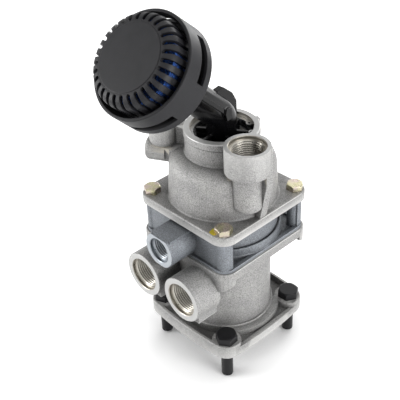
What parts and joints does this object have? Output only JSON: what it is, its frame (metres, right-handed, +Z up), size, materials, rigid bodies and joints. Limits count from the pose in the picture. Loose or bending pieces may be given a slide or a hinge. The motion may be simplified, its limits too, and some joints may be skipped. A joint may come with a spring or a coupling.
{
  "type": "foot brake valve",
  "caption": "Dual circuit foot brake valve with a square mounting flange, threaded air ports and a tilted exhaust silencer on an elbow.",
  "frame": {"origin": "centre of the mounting face, on the axis of the plunger and valves", "axes": "+Z runs up from the mounting face to the exhaust silencer, -Y is the side of the three ports that face one way and of the silencer, +X is the side of the vertical port with the rib"},
  "size_m": [0.0936, 0.126, 0.2581],
  "materials": {
    "cast_silver": "sandblasted casting with machined port faces",
    "cast_blue_grey": "sandblasted casting, bluer and darker",
    "zinc_bolts": "yellow zinc plated",
    "black_bolts": "black oxide",
    "steel": "turned steel",
    "bronze": "sintered bronze",
    "piston_alloy": "turned",
    "spring_steel": "dark drawn wire and stamped rings",
    "black_rubber": "matt moulded rubber",
    "black_plastic_inner": "moulded, matt",
    "gloss_black_plastic": "moulded, glossy",
    "charcoal_plastic": "moulded, satin",
    "blue_foam": "open foam"
  },
  "bodies": {
    "housing": {"mounting_housing": "cast_silver", "middle_housing": "cast_blue_grey", "cover_housing": "cast_silver", "cover_bolts": "zinc_bolts", "mounting_bolts": "black_bolts", "plunger_guide": "black_plastic_inner", "plunger_bush": "bronze", "guide_circlip": "spring_steel", "dust_boot": "black_rubber", "piston_return_spring": "spring_steel", "primary_valve_spring": "spring_steel", "primary_valve_guide": "piston_alloy", "primary_stem_ring": "black_rubber", "lower_joint_ring": "black_rubber", "relay_return_spring": "spring_steel", "upper_joint_ring": "black_rubber", "secondary_valve_spring": "spring_steel", "secondary_valve_guide": "piston_alloy", "secondary_stem_ring": "black_rubber", "collar_circlip": "spring_steel"},
    "plunger": {"plunger": "steel"},
    "graduating_piston": {"graduating_piston": "piston_alloy", "graduating_piston_ring": "black_rubber", "rubber_spring": "black_rubber"},
    "primary_valve": {"primary_valve_stem": "steel", "primary_valve_disc": "black_rubber"},
    "relay_piston": {"relay_piston": "piston_alloy", "relay_piston_ring": "black_rubber", "relay_stem_ring": "black_rubber"},
    "secondary_valve": {"secondary_valve_stem": "steel", "secondary_valve_disc": "black_rubber"},
    "silencer": {"exhaust_elbow": "gloss_black_plastic", "elbow_ring": "black_rubber", "silencer_shroud": "charcoal_plastic", "silencer_grille": "charcoal_plastic", "silencer_filter": "blue_foam"}
  },
  "joints": [
    {"name": "plunger_slide", "type": "slide", "parent": "housing", "child": "plunger", "axis": [0, 0, 1], "range_m": [0, 0.01], "stiffness_N_per_m": 4000, "springref_m": -0.002, "deforming": ["dust_boot"]},
    {"name": "graduating_piston_slide", "type": "slide", "parent": "housing", "child": "graduating_piston", "axis": [0, 0, 1], "range_m": [0, 0.0035], "deforming": ["rubber_spring", "piston_return_spring"]},
    {"name": "primary_valve_slide", "type": "slide", "parent": "housing", "child": "primary_valve", "axis": [0, 0, 1], "range_m": [0, 0.002], "deforming": ["primary_valve_spring"]},
    {"name": "relay_piston_slide", "type": "slide", "parent": "housing", "child": "relay_piston", "axis": [0, 0, 1], "range_m": [0, 0.0035], "deforming": ["relay_return_spring"]},
    {"name": "secondary_valve_slide", "type": "slide", "parent": "housing", "child": "secondary_valve", "axis": [0, 0, 1], "range_m": [0, 0.002], "deforming": ["secondary_valve_spring"]},
    {"name": "silencer_swivel", "type": "hinge", "parent": "housing", "child": "silencer", "pos_m": [0, 0, 0.1394], "axis": [0, 0, 1], "continuous": true}
  ],
  "couplings": [
    {"joint": "graduating_piston_slide", "follows": "plunger_slide", "ratio": 0.35},
    {"joint": "primary_valve_slide", "follows": "plunger_slide", "ratio": 0.2},
    {"joint": "relay_piston_slide", "follows": "plunger_slide", "ratio": 0.35},
    {"joint": "secondary_valve_slide", "follows": "plunger_slide", "ratio": 0.2}
  ]
}
